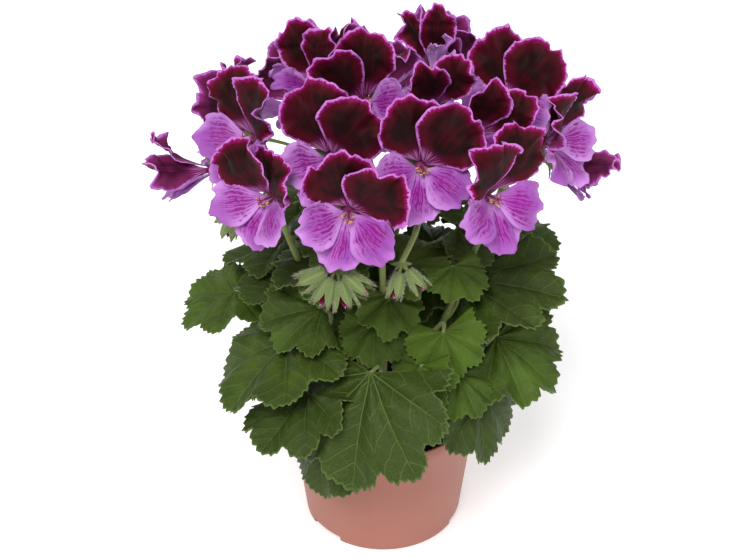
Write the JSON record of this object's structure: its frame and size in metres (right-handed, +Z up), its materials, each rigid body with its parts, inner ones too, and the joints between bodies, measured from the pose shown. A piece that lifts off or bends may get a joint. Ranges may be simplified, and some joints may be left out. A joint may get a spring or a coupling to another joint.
{
  "type": "potted flowering plant",
  "caption": "Bushy regal pelargonium with two-tone ruffled flowers over lobed leaves, growing in a round tapered terracotta-coloured plastic pot.",
  "frame": {"origin": "middle of the pot's underside, on the floor", "axes": "+Z up along the pot's axis, -Y the front of the plant, +X to the right seen from the front"},
  "size_m": [0.272, 0.2235, 0.359],
  "materials": {
    "pot": "matte terracotta-coloured plastic",
    "soil": "damp dark peat",
    "green": "matte living green tissue",
    "dark_petal": "velvety near-black maroon petal with a magenta edge",
    "pale_petal": "soft orchid-pink petal"
  },
  "bodies": {
    "root": {"pot": "pot", "soil": "soil", "shoot_left": "green", "shoot_upper_left": "green", "shoot_front": "green", "shoot_top": "green", "shoot_right": "green", "shoot_back_left": "green", "shoot_back": "green", "shoot_back_right": "green", "bloom_01_upper": "dark_petal", "bloom_01_lower": "pale_petal", "bloom_02_upper": "dark_petal", "bloom_02_lower": "pale_petal", "bloom_03_upper": "dark_petal", "bloom_03_lower": "pale_petal", "bloom_04_upper": "dark_petal", "bloom_04_lower": "pale_petal", "bloom_05_upper": "dark_petal", "bloom_05_lower": "pale_petal", "bloom_06_upper": "dark_petal", "bloom_06_lower": "pale_petal", "bloom_07_upper": "dark_petal", "bloom_07_lower": "pale_petal", "bloom_08_upper": "dark_petal", "bloom_08_lower": "pale_petal", "bloom_09_upper": "dark_petal", "bloom_09_lower": "pale_petal", "bloom_10_upper": "dark_petal", "bloom_10_lower": "pale_petal", "bloom_11_upper": "dark_petal", "bloom_11_lower": "pale_petal", "bloom_12_upper": "dark_petal", "bloom_12_lower": "pale_petal", "bloom_13_upper": "dark_petal", "bloom_13_lower": "pale_petal", "bloom_14_upper": "dark_petal", "bloom_14_lower": "pale_petal", "bloom_15_upper": "dark_petal", "bloom_15_lower": "pale_petal", "bloom_16_upper": "dark_petal", "bloom_16_lower": "pale_petal", "bloom_17_upper": "dark_petal", "bloom_17_lower": "pale_petal", "bloom_18_upper": "dark_petal", "bloom_18_lower": "pale_petal", "bloom_19_upper": "dark_petal", "bloom_19_lower": "pale_petal", "bloom_20_upper": "dark_petal", "bloom_20_lower": "pale_petal", "bloom_21_upper": "dark_petal", "bloom_21_lower": "pale_petal", "bloom_22_upper": "dark_petal", "bloom_22_lower": "pale_petal", "bloom_23_upper": "dark_petal", "bloom_23_lower": "pale_petal", "bloom_24_upper": "dark_petal", "bloom_24_lower": "pale_petal"}
  },
  "joints": []
}
